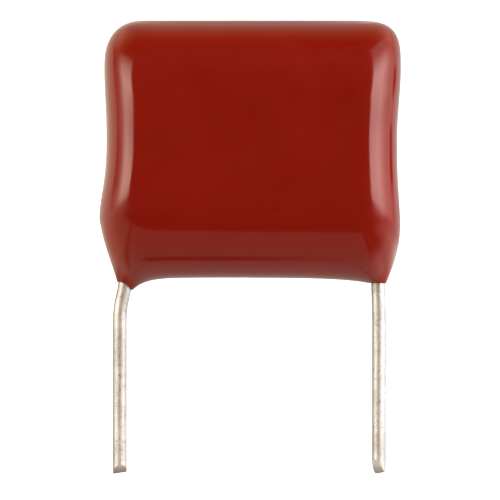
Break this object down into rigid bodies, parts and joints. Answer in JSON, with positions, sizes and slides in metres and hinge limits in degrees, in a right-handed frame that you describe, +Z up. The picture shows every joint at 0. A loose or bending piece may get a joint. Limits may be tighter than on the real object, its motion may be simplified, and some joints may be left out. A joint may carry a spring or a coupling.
{
  "type": "polyester film capacitor",
  "caption": "Pillow-shaped film capacitor in a glossy dark red dipped epoxy coating, with straight tinned wire leads that leave its lower corners for soldering into a circuit board.",
  "frame": {"origin": "midway between the leads, on the upper face of the board that they enter", "axes": "+X from the left lead to the right one as seen from the front, +Y through the thickness from front to back, +Z up from the board to the top of the coating"},
  "size_m": [0.0175, 0.0076, 0.0262],
  "materials": {
    "epoxy": "glossy dipped epoxy, dark red",
    "film": "pressed turns of metallised polyester film",
    "spray_metal": "rough flame-sprayed zinc",
    "tinned_wire": "bright tin over copper-clad steel wire"
  },
  "bodies": {
    "root": {"epoxy_coating": "epoxy", "film_winding": "film", "end_spray_left": "spray_metal", "end_spray_right": "spray_metal", "lead_left": "tinned_wire", "lead_right": "tinned_wire"}
  },
  "joints": []
}
